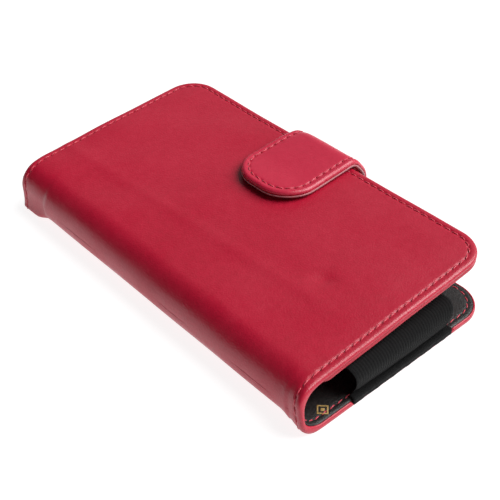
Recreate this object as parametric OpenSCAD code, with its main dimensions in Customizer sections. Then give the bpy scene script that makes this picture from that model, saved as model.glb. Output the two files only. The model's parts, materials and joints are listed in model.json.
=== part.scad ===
// Book-style leather wallet case for a phone, with a strap that closes over the front cover.
// +Y runs along the spine, +Z is up and the spine is at -X. The case lies closed on its back cover.

/* [Case] */
// Length of the back cover along the spine
case_l = 150; // [142:1:160]
// How much the front cover stops short of the back cover, at the end that the elastic closes
front_setback = 3; // [0:0.5:4]
// Width from the spine's outer face to the free edges of the covers
cover_w = 83.9; // [82:0.1:90]
// Height of the spine
spine_h = 16.85; // [16.85:0.05:20]
// Angle at which the front cover rises from the spine to its free edge
cover_tilt = 5; // [5:0.5:7]
// Corner radius of both covers at their free corners
corner_r = 11.5; // [8:0.5:16]
// Outer radius of the fold between back cover and spine
back_fold_r = 4.5; // [4:0.5:5]
// Outer radius of the fold between spine and front cover
front_fold_r = 8.5; // [7:0.5:9]
// Clear gap at the middle of every fold, where two moving pieces face each other
fold_gap = 0.3; // [0.2:0.05:0.5]

/* [Layers] */
// Thickness of the outer leather
leather_t = 1.2; // [1:0.1:1.4]
// Thickness of the stiffening boards
board_t = 0.8; // [0.6:0.1:1]
// Thickness of the lining
lining_t = 0.6; // [0.4:0.1:0.8]
// Width of the leather that is turned up round the edge of each cover
rim_w = 1.2; // [1:0.1:1.6]
// Thickness of the stitched panel inside the front cover
panel_t = 1.4; // [1:0.1:1.6]
// Thickness of one pocket sheet
sheet_t = 0.5; // [0.4:0.1:0.6]
// Space for a card or a note behind each pocket sheet, when empty
slot_gap = 0.2; // [0.1:0.1:0.3]

/* [Stitching] */
// Distance from an edge to the middle of its seam
seam_inset = 2.7; // [2.6:0.1:4]
// Width of the thread
thread_w = 0.5; // [0.4:0.1:0.7]
// Depth of the groove that the thread lies in
thread_d = 0.25; // [0.15:0.05:0.3]

/* [Phone sleeve] */
// Length of the phone that the sleeve holds
phone_l = 136.6; // [130:0.1:140]
// Width of the phone
phone_w = 70.6; // [66:0.1:71]
// Thickness of the phone
phone_t = 8.6; // [7:0.1:8.6]
// Middle of the phone across the case
phone_x = -2.5; // [-2.5:0.1:0]
// Play round the phone
phone_play = 0.3; // [0.2:0.1:0.4]
// Thickness of the sleeve's side walls
wall_t = 1.0; // [0.8:0.1:1]
// Thickness of the window frame
frame_t = 1.0; // [0.8:0.1:1]
// Width of the window frame's bars
bar_w = 6; // [4:0.5:8]
// Corner radius of the window
window_r = 5; // [3:0.5:8]
// Distance from the near end of the case to the window frame
frame_setback = 11.5; // [10:0.5:16]

/* [Elastic] */
// Width of the elastic band
elastic_w = 42; // [30:1:44]
// Thickness of the elastic band
elastic_t = 0.9; // [0.7:0.1:1]
// Outer radius of the band where it turns down over the phone's end
elastic_r = 4; // [3:0.5:5]
// How far the band leans back towards its foot
elastic_lean = 2; // [1:0.5:3]
// Thickness of the tape that holds the foot of the band
tape_t = 0.8; // [0.6:0.1:0.9]

/* [Strap] */
// Width of the strap
strap_w = 30; // [24:1:36]
// Distance of the strap's middle from the front cover's middle, towards the far end
strap_shift = 1.3; // [-10:0.1:10]
// Distance from the strap's outer face to its tip
strap_reach = 37.8; // [26:0.1:40]
// Corner radius at the strap's tip
strap_tip_r = 10.5; // [8:0.5:12]
// Thickness of the strap's outer leather
strap_leather_t = 1.3; // [1.2:0.1:1.4]
// Thickness of the strap's inner leather
strap_lining_t = 1.1; // [1.1:0.1:1.2]
// Clear gap between the strap and the case's open side
strap_side_gap = 2.5; // [0.5:0.1:3]
// Clear gap between the strap and the top of the front cover
strap_top_gap = 0.3; // [0.3:0.05:0.4]
// Radius of the magnet and of the steel plate that it holds to
snap_r = 5; // [4:0.5:6]

/* [Hidden] */
$fn = 96;
e = 0.01;

strap_t = strap_leather_t + strap_lining_t;
total_w = cover_w + strap_side_gap + strap_t;
spine_x = -total_w / 2;
free_x = spine_x + cover_w;
strap_x = total_w / 2;
near_y = -case_l / 2;

// Middles of the two fold arcs, as [x, z]
back_c = [spine_x + back_fold_r, back_fold_r];
front_c = [spine_x + front_fold_r, spine_h - front_fold_r];

// Fold line of the front cover: a quarter fold lays flat without stretching about this line
quarter_k = PI / 4;
fold_line = front_c + quarter_k * front_fold_r * [-1, 1];
fold_line_d = spine_h - fold_line[1];

// Front cover, drawn level and then tilted about its fold line
front_l = case_l - front_setback;
front_y = front_setback / 2;
front_free_x = fold_line[0]
  + (free_x - fold_line[0] + fold_line_d * sin(cover_tilt)) / cos(cover_tilt);
free_top_z = fold_line[1] + (front_free_x - fold_line[0]) * sin(cover_tilt)
  + fold_line_d * cos(cover_tilt);

// Heights of the middles of the two folds, between which the spine's near end leans in
back_mid_z = back_fold_r * (1 - cos(45));
front_mid_z = front_c[1] + front_fold_r * cos(45);
spine_lean = atan(front_setback / (front_mid_z - back_mid_z));

// Heights of the layers of the back cover
back_board_z = leather_t;
back_lining_z = back_board_z + board_t;
back_top_z = back_lining_z + lining_t;
rim_h = leather_t + board_t + 0.4;

// Heights of the layers of the front cover, before it is tilted
front_board_z = spine_h - leather_t - board_t;
front_lining_z = front_board_z - lining_t;
panel_z = front_lining_z - panel_t;
pocket_t = sheet_t + slot_gap;
panel_x0 = front_c[0] + 0.3;
panel_inset = 0.4;
pocket_inset = 1.2;
pocket_rim = 2;
cash_mouth_x = panel_x0 + 4.5;
card_step = 8;
card_l = 96;

// Phone sleeve
bay_x0 = phone_x - phone_w / 2 - phone_play;
bay_x1 = phone_x + phone_w / 2 + phone_play;
bay_y1 = near_y + 1.5 + phone_l + 3 * phone_play;
frame_z = back_top_z + phone_t + phone_play;
frame_y0 = near_y + frame_setback;
wall_y0 = frame_y0 + 4;

// Elastic band: front face, middle of its turn, foot, and the tape that holds it
elastic_z = frame_z + frame_t;
elastic_y = near_y + 0.1;
elastic_c = [elastic_y + elastic_r, elastic_z + elastic_t - elastic_r];
turn_step = 5;
tape_z = back_top_z + tape_t;
tape_l = 5.5;
tape_drop_z = 1;
tape_w = elastic_w + 3;

// Strap: fold arcs as [x, z], and the snap's distance from the upper one
strap_y = front_y + strap_shift;
strap_root_r = 2.8;
strap_top_r = 3.1;
strap_root_z = 0.6;
strap_top_d = strap_top_r - strap_t - strap_top_gap;
strap_root_c = [strap_x - strap_root_r, strap_root_z + strap_root_r];
strap_top_x = strap_x - strap_top_r;
strap_top_c = [
  strap_top_x,
  free_top_z - (free_x - strap_top_x) * tan(cover_tilt) - strap_top_d / cos(cover_tilt)
];
strap_top_z = strap_top_c[1] + strap_top_r;
strap_tip_x = strap_x - strap_reach;
tongue_l = 13;
snap_x = strap_tip_x + 9.5;
keeper_x = front_free_x - (strap_top_c[0] - snap_x)
  - (free_x - strap_top_c[0]) * cos(cover_tilt) - (free_top_z - strap_top_c[1]) * sin(cover_tilt);
magnet_t = 1;
keeper_t = 0.7;

foil_w = 3.4;
foil_pos = [spine_x + 10.2, near_y + rim_w + 2.6];
foil_t = 0.05;

red = [0.72, 0.14, 0.24];
dark_red = [0.60, 0.09, 0.18];
black = [0.06, 0.06, 0.065];

// ---- shared shapes ----

// Extrudes an [x, z] section along Y, centred on y
module along_y(l, y = 0) {
  translate([0, y, 0]) rotate([90, 0, 0]) linear_extrude(height = l, center = true) children();
}

// Extrudes a [y, z] section along X, centred on x
module along_x(l, x = 0) {
  translate([x, 0, 0]) rotate([90, 0, 90]) linear_extrude(height = l, center = true) children();
}

// Lifts an [x, y] outline to z and gives it thickness t
module layer(z, t) {
  translate([0, 0, z]) linear_extrude(height = t) children();
}

// Outline w by l whose right end has corners of radius r, from x0 and centred on the X axis
module round_end(x0, w, l, r) {
  translate([x0, -l / 2]) square([w - r, l]);
  translate([x0, -l / 2 + r]) square([w, l - 2 * r]);
  for (s = [-1, 1]) translate([x0 + w - r, s * (l / 2 - r)]) circle(r);
}

// Outline of the back cover from x0 to its free edge, drawn in by inset
module back_outline(x0, inset) {
  round_end(x0, free_x - inset - x0, case_l - 2 * inset, corner_r - inset);
}

// Outline of the front cover from x0 to its free edge, drawn in by inset
module front_outline(x0, inset) {
  round_end(x0, front_free_x - inset - x0, front_l - 2 * inset, corner_r - inset);
}

// One half of a round fold of thickness t that turns through bend, as an [x, z] section.
// from is the angle of its flat end, and turn is 1 or -1. Half of the fold gap is left at the other end.
module half_fold(c, r, t, from, turn, bend = 90) {
  a = fold_gap / 2 / sin(bend / 2);
  k = 2 * r;
  translate(c) intersection() {
    difference() {
      circle(r);
      circle(r - t);
    }
    rotate(from) polygon([[a, 0], [a + k, 0], [a + k, turn * k * tan(bend / 2)]]);
  }
}

// Section of the spine at depth d below its outer face, t thick
module spine_section(d, t) {
  half_fold(back_c, back_fold_r - d, t, 180, 1);
  translate([spine_x + d, back_c[1]]) square([t, front_c[1] - back_c[1]]);
  half_fold(front_c, front_fold_r - d, t, 180, -1);
}

// Places its children at the seams near both ends of a length l
module at_end_seams(l) {
  for (s = [-1, 1]) translate([0, s * (l / 2 - seam_inset), 0]) children();
}

// ---- back cover ----

module back_seam() {
  difference() {
    back_outline(back_c[0], seam_inset - thread_w / 2);
    back_outline(back_c[0] - e, seam_inset + thread_w / 2);
  }
}

module back_leather() {
  color(red) difference() {
    union() {
      layer(0, leather_t) back_outline(back_c[0], 0);
      layer(leather_t - e, rim_h - leather_t + e) difference() {
        back_outline(back_c[0], 0);
        back_outline(back_c[0] - e, rim_w);
      }
      along_y(case_l) half_fold(back_c, back_fold_r, leather_t, 270, -1);
    }
    back_outer_thread();
    // Way out of the edge for the strap
    translate([free_x - rim_w - e, strap_y - strap_w / 2, leather_t])
      cube([rim_w + 1, strap_w, rim_h]);
    // Step for the tape that comes over the near edge
    translate([phone_x - tape_w / 2, near_y - 1, tape_drop_z])
      cube([tape_w, tape_t + 1, rim_h]);
  }
}

module back_board() {
  color("saddlebrown") difference() {
    layer(back_board_z, board_t) back_outline(back_c[0], rim_w);
    translate([free_x - tongue_l, strap_y - strap_w / 2, back_board_z - e])
      cube([tongue_l + 1, strap_w, board_t + 2 * e]);
  }
}

module back_lining() {
  color(black) difference() {
    union() {
      layer(back_lining_z, lining_t) back_outline(back_c[0], rim_w);
      along_y(case_l - 2 * rim_w)
        half_fold(back_c, back_fold_r - back_lining_z, lining_t, 270, -1);
    }
    back_inner_thread();
  }
}

// Thread on the underside of the back cover and round its half of the fold
module back_outer_thread() {
  layer(0, thread_d) back_seam();
  at_end_seams(case_l) along_y(thread_w) half_fold(back_c, back_fold_r, thread_d, 270, -1);
}

// Thread on the lining, where the tape leaves it in view
module back_inner_thread() {
  difference() {
    layer(back_top_z - thread_d, thread_d) back_seam();
    translate([phone_x - tape_w / 2, near_y, 0]) cube([tape_w, tape_l + 1, spine_h]);
  }
}

module back_stitching() {
  color(dark_red) {
    back_outer_thread();
    back_inner_thread();
  }
}

module strap_anchor() {
  color(red) {
    translate([free_x - tongue_l, strap_y - strap_w / 2, back_board_z])
      cube([strap_root_c[0] + e - free_x + tongue_l, strap_w, board_t]);
    along_y(strap_w, strap_y) half_fold(strap_root_c, strap_root_r, strap_t, 270, 1);
  }
}

module foil_diamond() {
  color("gold") translate([foil_pos[0], foil_pos[1], back_top_z]) rotate(45)
    linear_extrude(height = foil_t) square(foil_w, center = true);
}

// ---- phone sleeve ----

module sleeve_frame() {
  x0 = bay_x0 - wall_t;
  w = bay_x1 + wall_t - x0;
  l = bay_y1 + wall_t - frame_y0;
  color(red) layer(frame_z, frame_t) difference() {
    translate([x0, frame_y0]) square([w, l]);
    translate([x0 + bar_w, frame_y0 + bar_w]) window_outline(w - 2 * bar_w, l - 2 * bar_w);
  }
}

// Round-cornered outline w by l, from the origin
module window_outline(w, l) {
  r = window_r;
  translate([r, 0]) square([w - 2 * r, l]);
  translate([0, r]) square([w, l - 2 * r]);
  for (x = [r, w - r], y = [r, l - r]) translate([x, y]) circle(r);
}

module sleeve_wall_left() {
  color(black) sleeve_side(bay_x0 - wall_t);
}

module sleeve_wall_right() {
  color(black) sleeve_side(bay_x1);
}

module sleeve_side(x) {
  translate([x, wall_y0, back_top_z]) cube([wall_t, bay_y1 + wall_t - wall_y0, frame_z - back_top_z]);
}

module sleeve_wall_end() {
  color(black) translate([bay_x0, bay_y1, back_top_z])
    cube([bay_x1 - bay_x0, wall_t, frame_z - back_top_z]);
}

module elastic_band() {
  inner_y = frame_y0 + bar_w - 1;
  foot_y = elastic_y + elastic_lean;
  inner_r = elastic_r - elastic_t;
  color(black) along_x(elastic_w, phone_x) polygon(concat(
    [[inner_y, elastic_z], [inner_y, elastic_z + elastic_t]],
    [for (a = [90:turn_step:180]) elastic_c + elastic_r * [cos(a), sin(a)]],
    [[foot_y, tape_z], [foot_y + elastic_t, tape_z]],
    [for (a = [180:-turn_step:90]) elastic_c + inner_r * [cos(a), sin(a)]]
  ));
}

module elastic_tape() {
  color(black) along_x(tape_w, phone_x) {
    translate([near_y, back_top_z]) square([tape_l, tape_t]);
    translate([near_y, tape_drop_z]) square([tape_t, back_top_z - tape_drop_z + e]);
  }
}

// ---- spine ----

// Everything between the spine's ends, drawn in by inset. Its near end leans in towards the front cover.
module between_ends(inset) {
  y0 = near_y + inset;
  k = 2 * spine_h;
  difference() {
    translate([spine_x - 1, y0 - k, -k]) cube([k, case_l - 2 * inset + k, 3 * k]);
    translate([0, y0, back_mid_z]) rotate([-spine_lean, 0, 0])
      translate([spine_x - k, -2 * k, -2 * k]) cube([3 * k, 2 * k, 4 * k]);
  }
}

module spine_thread() {
  intersection() {
    along_y(case_l) spine_section(0, thread_d);
    difference() {
      between_ends(seam_inset - thread_w / 2);
      between_ends(seam_inset + thread_w / 2);
    }
  }
}

module spine_leather() {
  color(red) difference() {
    intersection() {
      along_y(case_l) spine_section(0, leather_t);
      between_ends(0);
    }
    spine_thread();
  }
}

module spine_board() {
  color("saddlebrown") along_y(case_l - 14)
    translate([spine_x + leather_t, back_c[1]]) square([board_t, front_c[1] - back_c[1]]);
}

module spine_lining() {
  color(black) intersection() {
    along_y(case_l) spine_section(leather_t + board_t, lining_t);
    between_ends(rim_w);
  }
}

module spine_stitching() {
  color(dark_red) spine_thread();
}

// ---- front cover ----

// Puts the front cover's pieces, drawn level and centred on the X axis, in place
module on_front() {
  translate([fold_line[0], front_y, fold_line[1]]) rotate([0, -cover_tilt, 0])
    translate([-fold_line[0], 0, -fold_line[1]]) children();
}

module front_thread() {
  layer(spine_h - thread_d, thread_d) difference() {
    front_outline(front_c[0], seam_inset - thread_w / 2);
    front_outline(front_c[0] - e, seam_inset + thread_w / 2);
  }
  at_end_seams(front_l) along_y(thread_w) half_fold(front_c, front_fold_r, thread_d, 90, 1);
}

module front_leather() {
  color(red) on_front() difference() {
    union() {
      layer(spine_h - leather_t, leather_t) front_outline(front_c[0], 0);
      layer(spine_h - rim_h, rim_h - leather_t + e) difference() {
        front_outline(front_c[0], 0);
        front_outline(front_c[0] - e, rim_w);
      }
      along_y(front_l) half_fold(front_c, front_fold_r, leather_t, 90, 1);
    }
    front_thread();
  }
}

module front_board() {
  color("saddlebrown") on_front() difference() {
    layer(front_board_z, board_t) front_outline(panel_x0, rim_w);
    translate([keeper_x, 0, front_board_z - e]) cylinder(h = board_t + 2 * e, r = snap_r + 0.1);
  }
}

module snap_keeper() {
  color("silver") on_front() translate([keeper_x, 0, front_board_z + board_t - keeper_t])
    cylinder(h = keeper_t, r = snap_r);
}

module front_lining() {
  color(black) on_front() {
    layer(front_lining_z, lining_t) front_outline(front_c[0] - e, rim_w);
    along_y(front_l - 2 * rim_w)
      half_fold(front_c, front_fold_r - leather_t - board_t, lining_t, 90, 1);
  }
}

module front_panel() {
  color(red) on_front() layer(panel_z, panel_t) front_outline(panel_x0, panel_inset);
}

module cash_pocket() {
  z = panel_z - pocket_t;
  color(red) on_front() {
    layer(z, sheet_t) front_outline(cash_mouth_x, pocket_inset);
    layer(z + sheet_t - e, slot_gap + e) difference() {
      front_outline(cash_mouth_x, pocket_inset);
      front_outline(cash_mouth_x - e, pocket_inset + pocket_rim);
    }
  }
}

// Sheet of card pocket i, counted from the cover inwards: stitched on three sides, open to the spine
module card_pocket(i) {
  x0 = cash_mouth_x + card_step * i;
  x1 = front_free_x - corner_r / 2;
  z = panel_z - pocket_t * (i + 1);
  color(red) on_front() difference() {
    translate([x0, -card_l / 2, z]) cube([x1 - x0, card_l, pocket_t]);
    translate([x0 - e, -card_l / 2 + pocket_rim, z + sheet_t])
      cube([x1 - x0 - pocket_rim, card_l - 2 * pocket_rim, pocket_t]);
  }
}

module front_stitching() {
  color(dark_red) on_front() front_thread();
}

// ---- strap ----

// Section of the strap's standing part at depth d below its outer face, t thick
module strap_wall_section(d, t) {
  half_fold(strap_root_c, strap_root_r - d, t, 0, -1);
  translate([strap_x - d - t, strap_root_c[1]]) square([t, strap_top_c[1] - strap_root_c[1]]);
  half_fold(strap_top_c, strap_top_r - d, t, 0, 1, 90 + cover_tilt);
}

module strap_wall_leather() {
  color(red) difference() {
    along_y(strap_w, strap_y) strap_wall_section(0, strap_leather_t);
    strap_wall_thread();
  }
}

module strap_wall_lining() {
  color(red) along_y(strap_w, strap_y) strap_wall_section(strap_leather_t, strap_lining_t);
}

module strap_wall_thread() {
  translate([0, strap_y, 0]) at_end_seams(strap_w) along_y(thread_w) strap_wall_section(0, thread_d);
}

module strap_wall_stitching() {
  color(dark_red) strap_wall_thread();
}

// Puts the tab's pieces, drawn level and centred on the X axis, in place along the front cover
module on_tab() {
  translate([strap_top_c[0], strap_y, strap_top_c[1]]) rotate([0, -cover_tilt, 0])
    translate([-strap_top_c[0], 0, -strap_top_c[1]]) children();
}

// Outline of the tab from its round tip to x1, drawn in by inset
module tab_outline(inset, x1 = strap_top_c[0]) {
  x0 = strap_tip_x + inset;
  mirror([1, 0]) round_end(-x1, x1 - x0, strap_w - 2 * inset, strap_tip_r - inset);
}

// Section of the tab's half of the upper fold at depth d below its outer face, t thick
module tab_fold(d, t) {
  half_fold(strap_top_c, strap_top_r - d, t, 90, -1, 90 + cover_tilt);
}

module tab_thread() {
  layer(strap_top_z - thread_d, thread_d) difference() {
    tab_outline(seam_inset - thread_w / 2);
    tab_outline(seam_inset + thread_w / 2, strap_top_c[0] + e);
  }
  at_end_seams(strap_w) along_y(thread_w) tab_fold(0, thread_d);
}

module strap_tab_leather() {
  color(red) on_tab() difference() {
    union() {
      layer(strap_top_z - strap_leather_t, strap_leather_t) tab_outline(0);
      along_y(strap_w) tab_fold(0, strap_leather_t);
    }
    tab_thread();
  }
}

module strap_tab_lining() {
  z = strap_top_z - strap_t;
  edge = 0.3;
  color(red) on_tab() difference() {
    union() {
      layer(z, strap_lining_t) tab_outline(edge);
      along_y(strap_w - 2 * edge) tab_fold(strap_leather_t, strap_lining_t);
    }
    translate([snap_x, 0, z + strap_lining_t - magnet_t]) cylinder(h = strap_lining_t, r = snap_r + 0.1);
  }
}

module strap_magnet() {
  color("dimgray") on_tab() translate([snap_x, 0, strap_top_z - strap_leather_t - magnet_t])
    cylinder(h = magnet_t, r = snap_r);
}

module strap_tab_stitching() {
  color(dark_red) on_tab() tab_thread();
}

back_leather();
back_board();
back_lining();
back_stitching();
sleeve_frame();
sleeve_wall_left();
sleeve_wall_right();
sleeve_wall_end();
elastic_band();
elastic_tape();
foil_diamond();
strap_anchor();
spine_leather();
spine_board();
spine_lining();
spine_stitching();
front_leather();
front_board();
front_lining();
front_panel();
cash_pocket();
card_pocket(1);  // card_pocket_1
card_pocket(2);  // card_pocket_2
card_pocket(3);  // card_pocket_3
front_stitching();
snap_keeper();
strap_wall_leather();
strap_wall_lining();
strap_wall_stitching();
strap_tab_leather();
strap_tab_lining();
strap_magnet();
strap_tab_stitching();
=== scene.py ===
import json
import math

import bmesh
import bpy
import numpy as np
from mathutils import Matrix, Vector

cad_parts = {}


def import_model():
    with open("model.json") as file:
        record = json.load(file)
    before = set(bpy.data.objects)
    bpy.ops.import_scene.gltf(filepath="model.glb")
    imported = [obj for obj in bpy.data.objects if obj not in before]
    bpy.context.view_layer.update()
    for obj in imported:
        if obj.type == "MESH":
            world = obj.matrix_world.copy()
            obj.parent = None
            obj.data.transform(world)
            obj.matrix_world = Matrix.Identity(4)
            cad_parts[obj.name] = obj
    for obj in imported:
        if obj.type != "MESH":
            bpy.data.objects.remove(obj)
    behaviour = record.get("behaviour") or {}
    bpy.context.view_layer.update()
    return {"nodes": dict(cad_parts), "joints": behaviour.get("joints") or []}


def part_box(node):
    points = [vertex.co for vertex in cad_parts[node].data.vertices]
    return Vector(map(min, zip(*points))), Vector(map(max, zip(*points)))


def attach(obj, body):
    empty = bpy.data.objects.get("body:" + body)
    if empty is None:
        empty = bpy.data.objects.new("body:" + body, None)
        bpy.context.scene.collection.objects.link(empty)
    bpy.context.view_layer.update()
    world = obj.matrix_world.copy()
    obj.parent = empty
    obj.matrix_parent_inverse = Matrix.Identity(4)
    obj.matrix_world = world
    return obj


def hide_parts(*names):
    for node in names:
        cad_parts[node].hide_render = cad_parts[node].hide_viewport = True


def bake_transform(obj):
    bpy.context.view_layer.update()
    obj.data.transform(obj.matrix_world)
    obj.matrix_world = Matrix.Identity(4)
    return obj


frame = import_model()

# Lengths are in millimetres, and meshes are scaled to metres when they are made.
MM = 0.001

# Layers of the case, counted inwards from the outer face of its leather
LEATHER_T = 1.2
RIM_T = 2.4
LINING_OUT = 2.0
LINING_T = 0.6
PANEL_OUT = LINING_OUT + LINING_T
PANEL_T = 1.4
POCKET_T = 0.7
SHEET_T = 0.45
RIM_W = 0.7
STRAP_LEATHER_T = 1.3
STRAP_LINING_T = 1.1

# Seams
SEAM_INSET = 2.7
PITCH = 3.2
THREAD_R = 0.27

# Spacing of the points of the meshes
STEP = 0.8
STRAP_STEP = 0.5

CUT_W = 0.3  # how far in a cut edge's pale colour reaches: edge paint, and partly a painted highlight
BEYOND = 200  # longer than any path across a cover

QUARTER = math.pi / 4  # a quarter fold's axis lies this many radii out from its middle, each way
RIGHT = math.pi / 2


# ---- dimensions from the frame ----

def corners(node):
    """Lowest and highest corner of a CAD node."""
    low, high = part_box(node)
    return low / MM, high / MM


def joint(name):
    return next(j for j in frame["joints"] if j["name"] == name)


def hinge(name):
    """Where a joint's axis lies in the X-Z plane."""
    x, _, z = joint(name)["pos_m"]
    return x / MM, z / MM


back_low, back_high = corners("back_leather")
spine_x = corners("spine_leather")[0].x
free_x = back_high.x
near_y, far_y = back_low.y, back_high.y
front_near_y = corners("front_leather")[0].y

# The leather is rounder at both folds than the CAD, whose hinges need short ones.
BACK_R = 7.0
FRONT_R = 9.3
axis_x, axis_z = hinge("cover_fold")
cad_r = (axis_x - spine_x) / (1 - QUARTER)
tilt = math.radians(90 - joint("cover_fold")["range_deg"][1])
cad_mid_z = axis_z - (cad_r - axis_x + spine_x) * (1 - math.sin(tilt)) / math.cos(tilt)


def upper_fold(r):
    """Where the front cover's face leaves an upper fold of radius r, and the height of the fold's foot."""
    x = spine_x + r * (1 - math.sin(tilt))
    z = cad_mid_z + cad_r * math.cos(tilt) + (r - cad_r) * (1 - math.sin(tilt)) * math.tan(tilt)
    return x, z, z - r * math.cos(tilt)


# The front cover's outer face climbs from flat_x and flat_z
flat_x, flat_z, front_mid_z = upper_fold(FRONT_R)

spine_half = (front_mid_z - BACK_R) / 2
back_flat_u = spine_half + BACK_R * RIGHT
back_end_u = back_flat_u + free_x - spine_x - BACK_R
front_flat_u = spine_half + FRONT_R * (RIGHT - tilt)
front_end_u = front_flat_u + (free_x - flat_x) / math.cos(tilt)

strap_low, strap_high = corners("strap_wall_leather")
strap_x = strap_high.x
strap_y0, strap_y1 = strap_low.y, strap_high.y
strap_y = (strap_y0 + strap_y1) / 2
strap_w = strap_y1 - strap_y0
strap_tip_x = corners("strap_tab_leather")[0].x
strap_root_z = corners("strap_anchor")[0].z
root_r = (strap_x - hinge("strap_wall_fold")[0]) / (1 - QUARTER)
front_top_z = flat_z + (free_x - flat_x) * math.tan(tilt)


# ---- paths and outlines ----

class Section:
    """A path of straight and round stretches in the X-Z plane. side is 1 for outwards to its left, or -1."""

    def __init__(self, start, heading, side, stretches):
        self.side = side
        self.knots = []
        u, (x, z), angle = 0.0, start, math.radians(heading)
        for length, turn in stretches:
            bend = turn / length
            self.knots.append((u, x, z, angle, bend))
            if turn:
                x += (math.sin(angle + turn) - math.sin(angle)) / bend
                z -= (math.cos(angle + turn) - math.cos(angle)) / bend
            else:
                x += length * math.cos(angle)
                z += length * math.sin(angle)
            u += length
            angle += turn

    def at(self, u, y, h):
        """Points at distance u along the path and height h out from it, as rows of x, y, z."""
        u, y, h = (np.asarray(a, float) for a in (u, y, h))
        knots = np.array(self.knots)
        index = np.clip(np.searchsorted(knots[:, 0], u, side="right") - 1, 0, len(knots) - 1)
        u0, x0, z0, start, bend = knots[index].T
        angle = start + bend * (u - u0)
        straight = np.abs(bend) < 1e-9
        safe = np.where(straight, 1, bend)
        x = x0 + np.where(straight, (u - u0) * np.cos(start), (np.sin(angle) - np.sin(start)) / safe)
        z = z0 + np.where(straight, (u - u0) * np.sin(start), (np.cos(start) - np.cos(angle)) / safe)
        x = x - self.side * np.sin(angle) * h
        z = z + self.side * np.cos(angle) * h
        return np.stack([x, y + 0 * x, z], axis=1)


def arc(middle, r, start, end, points):
    a = np.linspace(start, end, points)
    return np.column_stack([middle[0] + r * np.cos(a), middle[1] + r * np.sin(a)])


def join(*stretches):
    """One line from stretches that each start where the last one ends."""
    return np.concatenate([stretches[0], *(stretch[1:] for stretch in stretches[1:])])


def border(grid, closed):
    """The edge of a grid of columns by rows: its near side, its last column, and its far side back."""
    parts = [grid[:, 0], grid[-1, 1:-1], grid[::-1, -1]]
    if closed:
        parts.append(grid[0, -2:0:-1])
    return np.concatenate(parts)


def distances(line):
    """Distance along a line of each of its points."""
    return np.concatenate([[0], np.cumsum(np.linalg.norm(np.diff(line, axis=0), axis=1))])


class Outline:
    """A piece's cut shape, with u along it and y across. Its end at u1 has corners of radius r1.
    Its end at u0 has corners of radius r0, or with no r0 it is where the next piece goes on."""

    def __init__(self, u0, u1, y0, y1, r1, r0=0, step=STEP):
        self.u0, self.u1, self.y0, self.y1, self.r1, self.r0 = u0, u1, y0, y1, r1, r0
        self.turn = max(round(r1 * RIGHT / step), 5)
        self.run = max(round((u1 - r1 - u0 - r0) / step), 3)
        self.rows = max(round((y1 - y0 - 2 * max(r1, r0)) / step), 3)

    def side(self, d):
        """Near side at distance d in from the edge, from u0 round the corner to u1."""
        start, end, y = self.u0 + self.r0, self.u1 - self.r1, self.y0 + d
        stretches = [
            np.linspace((start, y), (end, y), self.run + 1),
            arc((end, self.y0 + self.r1), self.r1 - d, 3 * RIGHT, 4 * RIGHT, self.turn + 1),
        ]
        if self.r0:
            first = arc((start, self.y0 + self.r0), self.r0 - d, 2 * RIGHT, 3 * RIGHT, self.turn + 1)
            stretches.insert(0, first)
        return join(*stretches)

    def grid(self, d):
        """Points of the whole face inside distance d, as an array of columns by rows by (u, y)."""
        near = self.side(d)
        far = np.stack([near[:, 0], self.y0 + self.y1 - near[:, 1]], axis=1)
        t = np.linspace(0, 1, self.rows + 1)[None, :, None]
        return near[:, None] * (1 - t) + far[:, None] * t

    def ring(self, d):
        """The grid's edge at distance d."""
        return border(self.grid(d), self.r0)

    def walk(self, d):
        """The ring at distance d with the distance along it of each point, closed where r0 is given."""
        line = self.ring(d)
        if self.r0:
            line = np.vstack([line, line[:1]])
        return line, distances(line)


def smooth(a, b, x):
    """0 before a, 1 after b, and smooth between them."""
    t = np.clip((np.asarray(x, float) - a) / (b - a), 0, 1)
    return t * t * (3 - 2 * t)


def bump(x, middle, width):
    """1 at the middle, falling to a third at that width either side."""
    return np.exp(-(((np.asarray(x, float) - middle) / width) ** 2))


# ---- meshes ----

def placed(name, data):
    """A new object in the scene."""
    thing = bpy.data.objects.new(name, data)
    bpy.context.scene.collection.objects.link(thing)
    return thing


def add_mesh(name, points, faces, material):
    """A smooth-shaded mesh object from points in millimetres."""
    mesh = bpy.data.meshes.new(name)
    mesh.from_pydata((np.asarray(points, float) * MM).tolist(), [], faces)
    bm = bmesh.new()
    bm.from_mesh(mesh)
    bmesh.ops.recalc_face_normals(bm, faces=bm.faces)
    bm.to_mesh(mesh)
    bm.free()
    mesh.polygons.foreach_set("use_smooth", [True] * len(mesh.polygons))
    mesh.materials.append(material)
    mesh.update()
    return placed(name, mesh)


def quads(a, b, closed=False):
    """Faces between two rows of point numbers."""
    a, b = list(a), list(b)
    if closed:
        a.append(a[0])
        b.append(b[0])
    return [(a[i], a[i + 1], b[i + 1], b[i]) for i in range(len(a) - 1)]


def tube_faces(first, rings, around):
    """Faces of a tube of rings of points, numbered from first."""
    faces = []
    for start in range(first, first + (rings - 1) * around, around):
        faces += quads(range(start, start + around), range(start + around, start + 2 * around), closed=True)
    return faces


STITCH_HOLE = 0.42  # half the width of the dent that a seam presses in the leather


def seam_dent(outline, inset, depth):
    """Depth of the dent at each point of a ring, deepest at the needle holes."""
    along = outline.walk(inset)[1]
    holes = 2 * math.pi * round(along[-1] / PITCH) / along[-1]
    return depth * (0.5 + 0.5 * np.cos(holes * along))[:len(outline.ring(inset))]


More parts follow.
